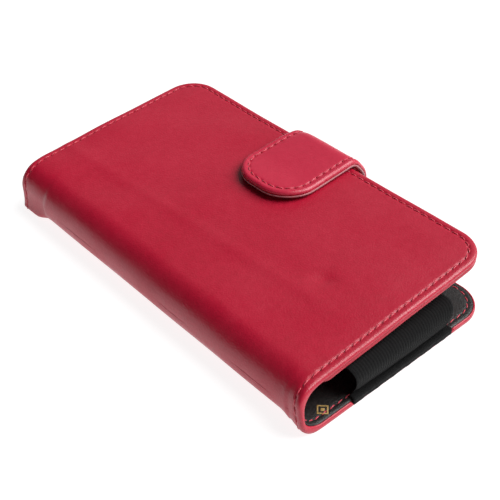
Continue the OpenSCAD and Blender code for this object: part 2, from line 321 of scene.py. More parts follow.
def skin(name, outline, profile, place, material, seam, cut_edge=None):
    """A closed sheet with the outline's cut. profile lists (distance in from the edge, height), from the
    inner border of its face round the edge to its back. place turns (u, y, height) into points. seam is
    (inset, depth), and cut_edge is a material for the outermost CUT_W of it."""
    closed = bool(outline.r0)
    face = outline.grid(profile[0][0])
    number = np.arange(face[..., 0].size).reshape(face.shape[:2])
    flat = [face.reshape(-1, 2)]
    heights = [np.full(number.size, float(profile[0][1]))]
    faces = [quad for i in range(len(number) - 1) for quad in quads(number[i], number[i + 1])]
    rings = [border(number, closed)]
    around = len(rings[0])
    dent = seam_dent(outline, *seam)
    total = number.size
    on_edge = []
    for d, h in profile[1:]:
        flat.append(outline.ring(d))
        heights.append(h - dent * bump(d, seam[0], STITCH_HOLE))
        rings.append(np.arange(total, total + around))
        ring_faces = quads(rings[-2], rings[-1], closed)
        if d <= CUT_W:
            on_edge += range(len(faces), len(faces) + len(ring_faces))
        faces += ring_faces
        total += around
    # The back fills the last ring, point for point as the face does
    back = np.full(number.size, -1)
    back[rings[0]] = rings[-1]
    inside = back < 0
    back[inside] = np.arange(total, total + inside.sum())
    back = back.reshape(number.shape)
    flat.append(outline.grid(profile[-1][0]).reshape(-1, 2)[inside])
    heights.append(np.full(int(inside.sum()), float(profile[-1][1])))
    for i in range(len(back) - 1):
        faces += quads(back[i + 1], back[i])
    ends = [ring[0] for ring in rings], [ring[-1] for ring in rings]
    if not closed:
        faces += quads(back[0], number[0]) + [tuple(ends[0]), tuple(reversed(ends[1]))]
    flat = np.concatenate(flat)
    points = place(flat[:, 0], flat[:, 1], np.concatenate(heights))
    piece = add_mesh(name, points, [tuple(int(v) for v in f) for f in faces], material)
    if cut_edge:
        piece.data.materials.append(cut_edge)
        for index in on_edge:
            piece.data.polygons[index].material_index = 1
    if not closed:
        mark_seam(piece, set(np.concatenate([number[0], back[0], *ends]).tolist()))
    return piece


def mark_seam(piece, ends):
    """Keeps the shading of the end face of a piece apart from its sides."""
    for edge in piece.data.edges:
        if ends.issuperset(edge.vertices):
            edge.use_edge_sharp = True


STITCH_AROUND = 7
STITCH_RINGS = 8
STITCH_START, STITCH_LENGTH = 0.09, 0.82  # shares of the pitch
STITCH_DIP = 0.34  # how deep a stitch goes in at both ends


def thread(name, lines, place, height=0.0, lean=0.16, radius=THREAD_R):
    """Lock stitches along lines of (points, distance along), each a short strand that dips in at both ends.
    lean is how far each end lies to the side."""
    t = np.linspace(0, 1, STITCH_RINGS)
    arch = np.sin(math.pi * t)
    angle = np.linspace(0, 2 * math.pi, STITCH_AROUND, endpoint=False)
    swell = radius * (0.45 + 0.55 * arch ** 0.5)
    rise = height - STITCH_DIP + 0.36 * arch ** 0.7
    off = lean * (t - 0.5)[:, None] * 2 + swell[:, None] * np.cos(angle)
    up = rise[:, None] + swell[:, None] * 0.75 * np.sin(angle)
    points, faces = [], []
    for line, along in lines:
        count = max(round(along[-1] / PITCH), 1)
        for k in range(count):
            s = (k + STITCH_START + STITCH_LENGTH * t) * along[-1] / count
            u = np.interp(s, along, line[:, 0])
            y = np.interp(s, along, line[:, 1])
            du, dy = np.gradient(u), np.gradient(y)
            norm = np.hypot(du, dy)
            first = len(points)
            pu = u[:, None] - (dy / norm)[:, None] * off
            py = y[:, None] + (du / norm)[:, None] * off
            points += np.stack([pu, py, up], axis=2).reshape(-1, 3).tolist()
            faces += tube_faces(first, STITCH_RINGS, STITCH_AROUND)
            faces.append(tuple(range(first, first + STITCH_AROUND)))
            faces.append(tuple(range(len(points) - 1, len(points) - 1 - STITCH_AROUND, -1)))
    points = np.array(points)
    return add_mesh(name, place(*points.T), faces, crimson_thread)


def sweep(name, loops, material, closed=True):
    """A solid through a row of loops of points, each already in place. closed joins the last to the first."""
    count, around = loops.shape[:2]
    faces = tube_faces(0, count, around)
    if closed:
        faces += quads(range((count - 1) * around, count * around), range(around), closed=True)
    else:
        faces.append(tuple(range(around)))
        faces.append(tuple(range(count * around - 1, (count - 1) * around - 1, -1)))
    return add_mesh(name, loops.reshape(-1, 3), faces, material)


# ---- materials ----

class Nodes:
    """Short ways to add nodes to a material or a world."""

    def __init__(self, made, shader="BSDF_PRINCIPLED", place="Object"):
        made.use_nodes = True
        self.made, self.tree = made, made.node_tree
        self.shader = next(n for n in self.tree.nodes if n.type == shader)
        self.place = self.tree.nodes.new("ShaderNodeTexCoord").outputs[place]

    def feed(self, socket, value):
        """Links a socket to another node's output, or sets its value."""
        if isinstance(value, bpy.types.NodeSocket):
            self.tree.links.new(value, socket)
        else:
            socket.default_value = value

    def add(self, kind, inputs=(), **settings):
        node = self.tree.nodes.new(kind)
        for key, value in settings.items():
            setattr(node, key, value)
        for key, value in dict(inputs).items():
            self.feed(node.inputs[key], value)
        return node

    def noise(self, scale, detail=3.0, roughness=0.55, vector=None):
        return self.add("ShaderNodeTexNoise", {
            "Vector": vector or self.place, "Scale": scale, "Detail": detail, "Roughness": roughness,
        }).outputs["Fac"]

    def cells(self, scale):
        inputs = {"Vector": self.place, "Scale": scale}
        return self.add("ShaderNodeTexVoronoi", inputs, feature="SMOOTH_F1").outputs["Distance"]

    def yarns(self, direction, scale, distortion):
        """Bands of light and dark, this many to the metre along each axis."""
        inputs = {"Vector": self.scaled(*scale), "Scale": 1.0, "Distortion": distortion, "Detail": 1.0}
        return self.add("ShaderNodeTexWave", inputs, bands_direction=direction).outputs["Fac"]

    def scaled(self, x, y, z):
        return self.add("ShaderNodeMapping", {"Vector": self.place, "Scale": (x, y, z)}).outputs["Vector"]

    def ramp(self, factor, stops):
        node = self.add("ShaderNodeValToRGB", {"Fac": factor})
        elements = node.color_ramp.elements
        while len(elements) < len(stops):
            elements.new(0.5)
        for element, (place, colour) in zip(elements, stops):
            element.position = place
            element.color = (*colour, 1)
        return node.outputs["Color"]

    def spread(self, factor, low, high, a, b):
        """Maps a factor from low..high to a..b."""
        return self.add("ShaderNodeMapRange", {
            "Value": factor, "From Min": low, "From Max": high, "To Min": a, "To Max": b,
        }).outputs["Result"]

    def math(self, operation, a, b):
        return self.add("ShaderNodeMath", {0: a, 1: b}, operation=operation).outputs[0]

    def mix(self, factor, a, b):
        """A colour between a and b, by the mix node's colour sockets."""
        return self.add("ShaderNodeMix", {0: factor, 6: a, 7: b}, data_type="RGBA").outputs[2]

    def bump(self, height, strength, distance, normal=None):
        inputs = {"Height": height, "Strength": strength, "Distance": distance}
        if normal:
            inputs["Normal"] = normal
        return self.add("ShaderNodeBump", inputs).outputs["Normal"]

    def set(self, **values):
        """Feeds the shader's inputs, named as in Blender but with underscores."""
        sockets = {socket.name.lower().replace(" ", "_"): socket for socket in self.shader.inputs}
        for name, value in values.items():
            self.feed(sockets[name], value)
        return self.made


def leather(name, deep, main, light, roughness, grain=0.5, coat=0.0):
    """Grained leather: mottled dye, fine pebbles and soft creases. Scales are in repeats to the metre."""
    n = Nodes(bpy.data.materials.new(name))
    patches = n.noise(22, 3)
    fine = n.noise(420, 4, 0.6)
    tone = n.math("ADD", n.math("MULTIPLY", patches, 0.5), n.math("MULTIPLY", fine, 0.5))
    colour = n.ramp(tone, [(0.36, deep), (0.5, main), (0.66, light)])
    pebbles = n.cells(1900)
    colour = n.mix(n.spread(pebbles, 0.1, 0.6, 0.0, 0.35), colour, (*deep, 1))
    wear = n.spread(n.noise(60, 4, 0.6), 0.35, 0.7, roughness - 0.06, roughness + 0.08)
    shine = n.math("ADD", wear, n.spread(pebbles, 0.0, 0.6, -0.03, 0.08))
    creases = n.bump(n.noise(160, 3, 0.5), 0.3, 0.0004)
    pores = n.math("ADD", pebbles, n.math("MULTIPLY", n.noise(3200, 2), 0.6))
    normal = n.bump(pores, grain, 0.00012, creases)
    return n.set(
        base_color=colour, roughness=shine, normal=normal, specular_ior_level=0.5, coat_weight=coat,
        coat_roughness=0.42)


def grained(name, noise, stretch, stops, roughness, bump, **settings):
    """A material with one grain in its colour, its roughness and its surface. noise is (scale, detail,
    roughness), and bump is (strength, distance)."""
    n = Nodes(bpy.data.materials.new(name))
    grain = n.noise(*noise, n.scaled(*stretch))
    rough = n.spread(grain, 0.3, 0.7, *roughness)
    return n.set(base_color=n.ramp(grain, stops), roughness=rough, normal=n.bump(grain, *bump), **settings)


def woven(name, along_x, along_y, deep, light, bump_depth):
    """A woven band, with its yarns this many to the metre each way."""
    n = Nodes(bpy.data.materials.new(name))
    weft = n.yarns("DIAGONAL", (0, along_y, along_y), 0.6)
    warp = n.yarns("X", (along_x, 0, 0), 0.4)
    weave = n.math("MULTIPLY", warp, weft)
    fuzz = n.noise(2400, 3, 0.7)
    tone = n.math("ADD", n.math("MULTIPLY", weave, 0.7), n.math("MULTIPLY", fuzz, 0.3))
    colour = n.ramp(tone, [(0.1, deep), (0.8, light)])
    normal = n.bump(n.math("ADD", weave, n.math("MULTIPLY", fuzz, 0.3)), 0.8, bump_depth)
    return n.set(
        base_color=colour, roughness=0.82, normal=normal, sheen_weight=0.02, sheen_roughness=0.5,
        specular_ior_level=0.2)


def metal(name, dark, light, roughness):
    """Metal brushed along X."""
    stops = [(0.3, dark), (0.7, light)]
    spread = roughness, roughness + 0.15
    return grained(name, (500, 4, 0.7), (0.08, 1, 1), stops, spread, (0.3, 0.00005), metallic=1.0)


red_leather = leather(
    "crimson_leather", (0.425, 0.006, 0.028), (0.47, 0.008, 0.034), (0.51, 0.014, 0.043), 0.34, 0.42, 0.08)
# The strap's leather is a lighter copy of the crimson leather. The extra lightness is a painted sheen, for
# the light that the strap's tilted top catches.
strap_leather_painted_sheen = leather(
    "crimson_strap_leather", (0.5, 0.013, 0.045), (0.545, 0.016, 0.052), (0.58, 0.022, 0.06), 0.34, 0.3, 0.08)
inner_leather = leather(
    "crimson_inner_leather", (0.38, 0.008, 0.026), (0.44, 0.011, 0.032), (0.49, 0.02, 0.045), 0.42, 0.3)
# Pale colour for the cut edge of the strap's inner leather. It is partly edge paint and partly a painted
# highlight, where the edge catches the light.
edge_paint_and_highlight = leather(
    "painted_cut_edge", (0.36, 0.11, 0.13), (0.44, 0.17, 0.19), (0.50, 0.23, 0.25), 0.5, 0.2)
black_lining = leather(
    "black_lining_leather", (0.004, 0.0035, 0.0035), (0.012, 0.0105, 0.010), (0.034, 0.03, 0.028), 0.42, 1.0)
fibre_board = grained(
    "fibre_board", (700, 5, 0.7), (1, 0.25, 1),
    [(0.3, (0.24, 0.16, 0.09)), (0.55, (0.36, 0.26, 0.16)), (0.8, (0.46, 0.35, 0.23))], (0.9, 0.9),
    (0.5, 0.0002))
crimson_thread = grained(
    "crimson_thread", (2600, 2, 0.5), (1, 1, 0.6),
    [(0.3, (0.40, 0.010, 0.028)), (0.55, (0.60, 0.035, 0.07)), (0.8, (0.72, 0.09, 0.13))], (0.36, 0.36),
    (0.6, 0.0001), sheen_weight=0.2)
YARN_SHADE = (0.001, 0.001, 0.0012)
black_elastic = woven("black_ribbed_elastic", 900, 1500, YARN_SHADE, (0.008, 0.008, 0.0085), 0.0002)
black_tape = woven("black_tape", 2200, 2200, YARN_SHADE, (0.006, 0.006, 0.0065), 0.00015)
gold_foil = grained(
    "gold_foil", (900, 4, 0.6), (1, 1, 1), [(0.3, (0.55, 0.36, 0.10)), (0.6, (0.84, 0.60, 0.24))],
    (0.22, 0.4), (0.4, 0.00006), metallic=0.5)
steel = metal("plated_steel", (0.42, 0.42, 0.44), (0.68, 0.68, 0.7), 0.28)
magnet = metal("nickel_magnet", (0.24, 0.24, 0.26), (0.46, 0.46, 0.48), 0.34)


# ---- the leather and lining that wrap the case ----

def wrap_paths(back_r, front_r):
    """Paths of the wrap from mid-spine to the back and to the front, with folds of those radii. Each comes
    with how many times as long its way to the flat is as in the middle of the case."""
    x, _, foot = upper_fold(front_r)
    half = (foot - back_r) / 2
    start = spine_x, (foot + back_r) / 2
    turn = RIGHT - tilt
    back = Section(start, -90, -1, [(half, 0), (back_r * RIGHT, RIGHT), (BEYOND, 0)])
    front = Section(start, 90, 1, [(half, 0), (front_r * turn, -turn), (BEYOND, 0)])
    back_u = half + back_r * RIGHT + BACK_R - back_r
    front_u = half + front_r * turn + (flat_x - x) / math.cos(tilt)
    return (back, back_u / back_flat_u), (front, front_u / front_flat_u)


BACK, FRONT = 0, 1
MIDDLE = wrap_paths(BACK_R, FRONT_R)
NEAR_END = wrap_paths(4.5, 5.2)
FAR_END = wrap_paths(1.8, 8.2)

# The spine's stiffener ends short of both ends of the case. The folds are tighter there.
NEAR_BARE = 6.2
FAR_BARE = 14.4
NEAR_TURN = 12.0, 2.0  # distances from the end between which its own folds take over
FAR_TURN = 17.5, 8.5


def wrap_at(side, u, y, h):
    """Points of the wrap on one side of mid-spine. Its outer face has tighter folds at both ends."""
    flat_u = (back_flat_u, front_flat_u)[side]
    middle = MIDDLE[side][0].at(u, y, h)
    # The layers further in keep nearer to the folds of the middle
    outer = 1 - 0.8 * smooth(0.6, 2.6, -h)
    at_ends = smooth(*NEAR_TURN, y - near_y), smooth(*FAR_TURN, far_y - y)
    points = middle
    for end, weight in zip((NEAR_END, FAR_END), at_ends):
        path, stretch = end[side]
        along = np.where(u < flat_u, u * stretch, u + (stretch - 1) * flat_u)
        points = points + (weight * outer)[:, None] * (path.at(along, y, h) - middle)
    return points


CORNER_R = 11.5
rng = np.random.default_rng(7)
WAVES = [
    (rng.uniform(0.03, 0.11), rng.uniform(0.03, 0.11), rng.uniform(0, 2 * math.pi), rng.uniform(0.02, 0.05))
    for _ in range(10)
]


def near_end_y(across):
    """Near end of the wrap at a distance across from mid-spine, positive towards the front cover."""
    return near_y + (front_near_y - near_y) * smooth(-back_flat_u, front_flat_u, across)


def wander(across, y):
    """Soft unevenness of the leather, level at mid-spine."""
    across = np.sign(across) * np.maximum(np.abs(across) - 1.5, 0)
    return sum(size * np.sin(2 * (fu * across + fy * y) + phase) for fu, fy, phase, size in WAVES)


NEAR_STEP = 0.45  # how far the leather steps in past the stiffener's ends
FAR_STEP = 0.5


def spine_relief(across, y):
    """How far the spine's leather steps out from its place: in, where there is no stiffener."""
    lower = smooth(-back_flat_u - 2, -spine_half - 1, across)
    upper = smooth(front_flat_u + 2, spine_half + 1, across)
    near = NEAR_STEP * smooth(NEAR_BARE + 1.2, NEAR_BARE, y - near_end_y(across))
    far = FAR_STEP * smooth(FAR_BARE + 1.8, FAR_BARE, far_y - y)
    return -lower * upper * (near + far)


NEAR_FLARE = 1.7
FOOT_FLARE = 0.9


def flare(across, y):
    """How far the near end of the spine stands out, and the foot of its far end."""
    on_spine = smooth(-back_flat_u + 2, -1, across) * smooth(front_flat_u + 3, 3, across)
    near = NEAR_FLARE * on_spine * smooth(12, 0, y - near_end_y(across))
    return near + FOOT_FLARE * bump(across, -back_flat_u * 0.6, 3.5) * smooth(16, 7, far_y - y)


# Marks of use on the front cover, with x counted from the spine's outer face
DENT_X, DENT_Y = 37.6, 30.6
DENT_ALONG, DENT_ACROSS, DENT_DEPTH = 3.6, 2.9, 0.5
DENT_TURN = math.radians(42)
RIDGE_X, RIDGE_SLANT, RIDGE_W, RIDGE_H = 22.2, 0.06, 2.6, 0.17
CROWN = 0.30
CROWN_MARGIN = 14
SAG = 0.5
LIFT, FREE_LIFT = 0.5, 0.1


def front_relief(u, y):
    """A dent, a soft ridge over the panel's edge, a crown, a sag at mid-length and a lifted far end."""
    x = u - front_flat_u + FRONT_R
    near, far = y - front_near_y, far_y - y
    dx, dy = x - DENT_X, y - near_y - DENT_Y
    along = (dx * math.cos(DENT_TURN) - dy * math.sin(DENT_TURN)) / DENT_ALONG
    across = (dx * math.sin(DENT_TURN) + dy * math.cos(DENT_TURN)) / DENT_ACROSS
    dent = -DENT_DEPTH * bump(np.hypot(along, across), 0, 1)
    ridge = RIDGE_H * bump(x, RIDGE_X + far * RIDGE_SLANT, RIDGE_W) * smooth(near_y + 8, near_y + 30, y)
    edges = front_end_u - u, near, far
    crown = CROWN * math.prod(smooth(0, CROWN_MARGIN, distance) for distance in edges)
    sag = -SAG * smooth(30, 84, x) * (1 - ((near - far) / (near + far)) ** 2)
    lift = (LIFT - (LIFT - FREE_LIFT) * smooth(52, 80, x)) * smooth(22, 0, far)
    return dent + ridge + crown - CROWN / 2 + sag + lift


FAR_STRETCH = 0.7  # the front cover's far end lies this far past the CAD's


def place_back(u, y, h):
    """Points of the wrap on the back side of mid-spine."""
    y = y + (near_end_y(-u) - near_y) * (far_y - y) / (far_y - near_y)
    inwards = smooth(RIM_T + 2, 0, -h)
    h = h + inwards * (spine_relief(-u, y) + 0.4 * wander(-u, y) * smooth(back_flat_u + 2, 0, u))
    points = wrap_at(BACK, u, y, h)
    points[:, 0] -= flare(-u, y)
    return points


def place_front(u, y, h):
    """Points of the wrap on the front side of mid-spine."""
    y = y + (near_end_y(u) - front_near_y) * (far_y - y) / (far_y - front_near_y)
    on_cover = smooth(front_flat_u - 6, front_flat_u + 4, u)
    h = h + spine_relief(u, y) + wander(u, y) * smooth(0, 8, u) + on_cover * front_relief(u, y)
    y = y + FAR_STRETCH * on_cover * smooth(30, 0, far_y - y)
    points = wrap_at(FRONT, u, y, h)
    points[:, 0] -= flare(u, y)
    return points


# Heights across a seam, by distance in from it
SEAM_BAND = [
    (2.8, 0), (2.0, 0), (1.4, 0), (1.0, -0.01), (0.65, -0.03), (0.35, -0.05), (0.1, -0.06), (-0.1, -0.06),
    (-0.35, -0.05), (-0.65, -0.01), (-0.95, 0.01),
]


def edge(seam, rest):
    """A profile with a seam at that distance in from the cut, then the rest of the way round the edge."""
    return [(seam + d, h) for d, h in SEAM_BAND] + rest


EDGE = edge(SEAM_INSET, [
    (1.35, 0), (1.0, -0.04), (0.7, -0.12), (0.42, -0.27), (0.2, -0.5), (0.05, -0.8), (0, -1.15), (0, -1.6),
    (0.05, -1.95), (0.18, -2.2), (0.4, -2.36), (0.58, -RIM_T), (0.7, -2.3), (0.76, -2.1), (0.76, -LEATHER_T),
])

# The turned-up edge is lower on the front cover and the spine: its depth past RIM_FROM shrinks by this share.
RIM_THIN = 0.36
RIM_FROM = 0.8

# The tape and the strap cross the back leather's turned-up edge
tape_low, tape_high = corners("elastic_tape")
elastic_low, elastic_high = corners("elastic_band")


def rim_loss(h):
    return -RIM_THIN * np.minimum(h + RIM_FROM, 0)


def between(low, high, value):
    """1 from low to high, falling to 0 just outside them."""
    return smooth(low - 0.8, low, value) * smooth(high + 0.8, high, value)


def place_back_leather(u, y, h):
    """The back leather, whose edge is lower where the strap and the tape cross it."""
    x = u - back_flat_u + spine_x + BACK_R
    at_strap = between(strap_y0, strap_y1, y) * smooth(free_x - 4, free_x - 2, x)
    at_tape = between(tape_low.x, tape_high.x, x) * smooth(near_y + 4, near_y + 2, y)
    low = np.maximum(at_strap, at_tape)
    h = h + rim_loss(h) * smooth(back_flat_u, 0, u)
    squeezed = -np.minimum(-h, LEATHER_T) - 0.02 * np.maximum(-h - LEATHER_T, 0)
    return place_back(u, y, h * (1 - low) + squeezed * low)


def place_front_leather(u, y, h):
    return place_front(u, y, h + rim_loss(h))


back_cut = Outline(0, back_end_u, near_y, far_y, CORNER_R)
front_cut = Outline(0, front_end_u, front_near_y, far_y, CORNER_R)

# Seams: distance in from the edge, and depth of the needle holes
OUTER_SEAM = (SEAM_INSET, 0.34)
back_leather = skin("back_leather_skin", back_cut, EDGE, place_back_leather, red_leather, OUTER_SEAM)
front_leather = skin("front_leather_skin", front_cut, EDGE, place_front_leather, red_leather, OUTER_SEAM)
back_thread = thread("back_outer_stitches", [back_cut.walk(SEAM_INSET)], place_back)
front_thread = thread("front_outer_stitches", [front_cut.walk(SEAM_INSET)], place_front)

# Lining, whose face looks into the case
LINING_SEAM = SEAM_INSET - RIM_W
THIN_DENT = 0.16
LINING_EDGE = edge(LINING_SEAM, [
    (0.8, -0.01), (0.45, -0.06), (0.2, -0.16), (0.04, -0.32), (0.0, -0.45), (0.1, -LINING_T),
])


def into_case(place, depth):
    """Turns heights measured into the case from a depth into heights out from the leather's face."""
    return lambda u, y, h: place(u, y, -depth - h)


def inset(cut, by, u0=0, r0=0, step=STEP):
    """The same cut from u0 on, drawn in by a distance."""
    return Outline(u0, cut.u1 - by, cut.y0 + by, cut.y1 - by, cut.r1 - by, r0, step)


back_lining_cut = inset(back_cut, RIM_W)
front_lining_cut = inset(front_cut, RIM_W)
back_inside = into_case(place_back, PANEL_OUT)
front_inside = into_case(place_front, PANEL_OUT)
back_lining = skin(
    "back_lining_skin", back_lining_cut, LINING_EDGE, back_inside, black_lining, (LINING_SEAM, THIN_DENT))
front_lining = skin(
    "front_lining_skin", front_lining_cut, LINING_EDGE, front_inside, black_lining, (LINING_SEAM, THIN_DENT))
lining_seam = [back_lining_cut.walk(LINING_SEAM)]
back_inner_thread = thread("back_inner_stitches", lining_seam, back_inside, 0, 0.2, 0.21)


def cover_u(x):
    """How far along the front cover's path a place with that x lies."""
    return front_flat_u + x - spine_x - FRONT_R


# Panel inside the front cover, the second ridge along its edge
PANEL_IN = 0.12
PANEL_SEAM = SEAM_INSET - PANEL_IN
panel_cut = inset(front_cut, PANEL_IN, cover_u(corners("front_panel")[0].x), 4.0)
PANEL_EDGE = edge(PANEL_SEAM, [
    (1.3, -0.04), (0.95, -0.12), (0.62, -0.26), (0.34, -0.46), (0.13, -0.74), (0, -1.08), (0.02, -1.45),
    (0.12, -1.78), (0.32, -2.02), (0.6, -2.1), (0.9, -2.0), (1.1, -1.7), (1.2, -PANEL_T),
])
panel_face = into_case(place_front, PANEL_OUT + PANEL_T)
front_panel = skin(
    "front_inner_panel", panel_cut, PANEL_EDGE, panel_face, inner_leather, (PANEL_SEAM, THIN_DENT))
panel_thread = thread("front_panel_stitches", [panel_cut.walk(PANEL_SEAM)], panel_face)


# ---- pockets ----

POCKET_SEAM = 2.0
POCKET_EDGE = edge(POCKET_SEAM, [
    (0.8, 0.02), (0.5, -0.01), (0.22, -0.08), (0.04, -0.2), (0.04, -0.34), (0.2, -0.43), (0.5, -SHEET_T),
])
POCKET_R = 3.6
MOUTH_LIFT = 0.12


def pocket(name, node, level, corner):
    """A pocket sheet, open towards the spine, with its face at the given pocket level."""
    low, high = corners(node)
    u0 = cover_u(low.x)
    cut = Outline(u0, cover_u(high.x), low.y, high.y, corner, POCKET_R)
    face = into_case(place_front, PANEL_OUT + PANEL_T + POCKET_T * level)

    def lifted(u, y, h):
        mouth = MOUTH_LIFT * smooth(9, 0, u - u0) * smooth(0, 14, y - low.y) * smooth(0, 14, high.y - y)
        return face(u, y, h + mouth)

    sheet = skin(name, cut, POCKET_EDGE, lifted, inner_leather, (POCKET_SEAM, 0.08))
    line, along = cut.walk(POCKET_SEAM)
    stitched = line[:, 0] > u0 + 5
    first = int(np.argmax(stitched))
    last = len(line) - int(np.argmax(stitched[::-1]))
    seam = line[first:last], along[first:last] - along[first]
    stitches = thread(name + "_stitches", [seam], lifted, 0, 0.12, 0.22)
    return sheet, stitches, node


pockets = [pocket("cash_pocket_sheet", "cash_pocket", 1, CORNER_R - RIM_W)]
for number in (1, 2, 3):
    pockets.append(pocket(f"card_pocket_{number}_sheet", f"card_pocket_{number}", number + 1, POCKET_R))


# ---- phone sleeve ----

SIDE_POINTS = 60
TURN_POINTS = 10


def rounded_path(x0, x1, y0, y1, r):
    """A closed path round a rectangle with round corners, as rows of x, y."""
    middles = [(x1 - r, y0 + r), (x1 - r, y1 - r), (x0 + r, y1 - r), (x0 + r, y0 + r)]
    turns = [arc(middle, r, (k - 1) * RIGHT, k * RIGHT, TURN_POINTS) for k, middle in enumerate(middles)]
    stretches = []
    for turn, following in zip(turns, turns[1:] + turns[:1]):
        stretches += [turn, np.linspace(turn[-1], following[0], SIDE_POINTS)]
    return join(*stretches)[:-1]


frame_low, frame_high = corners("sleeve_frame")
BAR_W = 6.0
FRAME_R = 2.5
WINDOW_R = 5.0
BAR_SEAMS = 0.23, 0.77  # shares of the way in at which its seams lie
BAR_GROOVE = 0.05
outer_path = rounded_path(frame_low.x, frame_high.x, frame_low.y, frame_high.y, FRAME_R)
window_path = rounded_path(
    frame_low.x + BAR_W, frame_high.x - BAR_W, frame_low.y + BAR_W, frame_high.y - BAR_W, WINDOW_R)
# Section of the frame's bars: share of the way in from the outer edge, and height above the bottom
BAR = [
    (0.03, 0), (0, 0.25), (0, 0.7), (0.02, 0.9), (0.06, 1), (0.15, 1), (0.19, 0.96), (0.23, 0.9),
    (0.27, 0.96), (0.31, 1.02), (0.5, 1.06), (0.69, 1.02), (0.73, 0.96), (0.77, 0.9), (0.81, 0.96),
    (0.85, 1), (0.94, 1), (0.98, 0.9), (1, 0.7), (1, 0.25), (0.97, 0), (0.5, 0),
]


def across_bar(share):
    """The closed path round the frame's bars at a share of their width."""
    return outer_path * (1 - share) + window_path * share


def bar_line(share, height):
    flat = across_bar(share)
    return np.column_stack([flat, np.full(len(flat), frame_low.z + height)])


bars = np.stack([bar_line(share, h * (frame_high.z - frame_low.z)) for share, h in BAR], axis=1)
sleeve_frame = sweep("sleeve_window_frame", bars, inner_leather)


def bar_seam(share):
    line = across_bar(share)
    line = np.vstack([line, line[:1]])
    return line, distances(line)


def on_frame(x, y, h):
    return np.column_stack([x, y, frame_high.z - BAR_GROOVE + h])


bar_seams = [bar_seam(share) for share in BAR_SEAMS]
frame_thread = thread("sleeve_frame_stitches", bar_seams, on_frame, 0, 0.12, 0.2)

# One soft wall round three sides of the sleeve, bowed a little, between the lining and the frame
left_low, left_high = corners("sleeve_wall_left")
right_low, right_high = corners("sleeve_wall_right")
WALL_CORNER = 3.0
WALL_HALF = 0.42
WALL_BOW = 0.35
WALL_LEVELS = 9


def wall_path(out):
    """Middle line of the wall, moved out, from its near left end round to its near right end."""
    x0, x1 = (left_low.x + left_high.x) / 2 - out, (right_low.x + right_high.x) / 2 + out
    y0, y1 = left_low.y, left_high.y - 0.5 + out
    r = WALL_CORNER + out
    return join(
        np.linspace((x0, y0), (x0, y1 - r), 2 * SIDE_POINTS),
        arc((x0 + r, y1 - r), r, 2 * RIGHT, RIGHT, TURN_POINTS),
        np.linspace((x0 + r, y1), (x1 - r, y1), SIDE_POINTS),
        arc((x1 - r, y1 - r), r, RIGHT, 0, TURN_POINTS),
        np.linspace((x1, y1 - r), (x1, y0), 2 * SIDE_POINTS),
    )


def wall_loops():
    """Lines along the wall, up its outer face and down its inner one."""
    levels = np.linspace(0, 1, WALL_LEVELS)
    loops = []
    for side, order in ((WALL_HALF, levels), (-WALL_HALF, levels[::-1])):
        for level in order:
            flat = wall_path(side - WALL_BOW * math.sin(math.pi * level))
            z = left_low.z + level * (left_high.z - left_low.z)
            loops.append(np.column_stack([flat, np.full(len(flat), z)]))
    return np.stack(loops, axis=1)


sleeve_wall = sweep("sleeve_soft_wall", wall_loops(), black_lining, closed=False)


# ---- elastic and its tape ----

RIB_PITCH = 1.05
RIB_H = 0.17
ELASTIC_T = 0.9
TURN_R = 4.0
LEAN = 2.0  # how far the band's foot lies in from its front
FOOT_IN = 0.3  # how deep its foot goes into the tape
WIDER_LEFT, WIDER_RIGHT = 1.3, 2.4  # how much wider it is over the frame than at its foot


def elastic_line():
    """Outer face of the band as rows of y, z: flat over the frame, round the end and down to its foot."""
    top, foot, front = elastic_high.z, elastic_low.z, elastic_low.y
    t = np.linspace(0, 1, 13)
    return join(
        np.linspace((elastic_high.y, top), (front + TURN_R, top), 22),
        arc((front + TURN_R, top - TURN_R), TURN_R, RIGHT, 2 * RIGHT, 14),
        np.column_stack([front + LEAN * t * t, top - TURN_R + (foot - FOOT_IN - top + TURN_R) * t]),
    )


def outwards(line):
    """Unit directions out of the face of a band at each point of its line of y, z."""
    step = np.gradient(line, axis=0)
    step /= np.linalg.norm(step, axis=1)[:, None]
    return np.column_stack([step[:, 1], -step[:, 0]])


def off_edges(across, width):
    """1 across a band, falling to 0 at both its edges."""
    return smooth(0, width, across) * smooth(1, 1 - width, across)


def band_loop(x, place, out, over, under):
    """A band's section at a place on its line, from the heights of its face and its back."""
    sides = [np.column_stack([x, place[0] + out[0] * h, place[1] + out[1] * h]) for h in (over, under)]
    return np.vstack([sides[0], sides[1][::-1]])


def elastic_mesh():
    """The ribbed elastic, wider over the frame than at its foot."""
    line = elastic_line()
    out = outwards(line)
    ribs = round((elastic_high.x - elastic_low.x) / RIB_PITCH)
    across = np.linspace(0, 1, ribs * 6 + 1)
    inner = off_edges(across, 0.02)
    rib = RIB_H * np.abs(np.sin(across * ribs * math.pi)) ** 0.7
    crown = 0.25 * np.sin(math.pi * across)
    x = elastic_low.x + across * (elastic_high.x - elastic_low.x)
    loops = []
    for place, side, along in zip(line, out, np.linspace(0, 1, len(line))):
        wider = (WIDER_RIGHT * across - WIDER_LEFT * (1 - across)) * smooth(0.95, 0.45, along)
        over = (rib - RIB_H + crown * smooth(0.5, 0.75, along)) * inner - 0.3 * (1 - inner)
        under = -ELASTIC_T + 0.25 + 0.2 * (1 - inner)
        loops.append(band_loop(x + wider, place, side, over, under))
    return sweep("ribbed_elastic", np.stack(loops), black_elastic, closed=False)


elastic = elastic_mesh()

TAPE_T = 0.62
TAPE_FOLD_R = 0.9
TAPE_CLEAR = 0.12


def tape_line():
    """Outer face of the tape as rows of y, z: flat on the lining, then down over the case's near edge."""
    top, bottom, back_y = tape_high.z, tape_low.z, elastic_low.y + LEAN
    r, front = TAPE_FOLD_R, near_y - TAPE_CLEAR
    return join(
        np.linspace((back_y, top), (near_y + r, top), 12),
        arc((front + r, top - r), r, RIGHT, 2 * RIGHT, 9),
        np.linspace((front, top - r), (front, bottom), 7),
    )


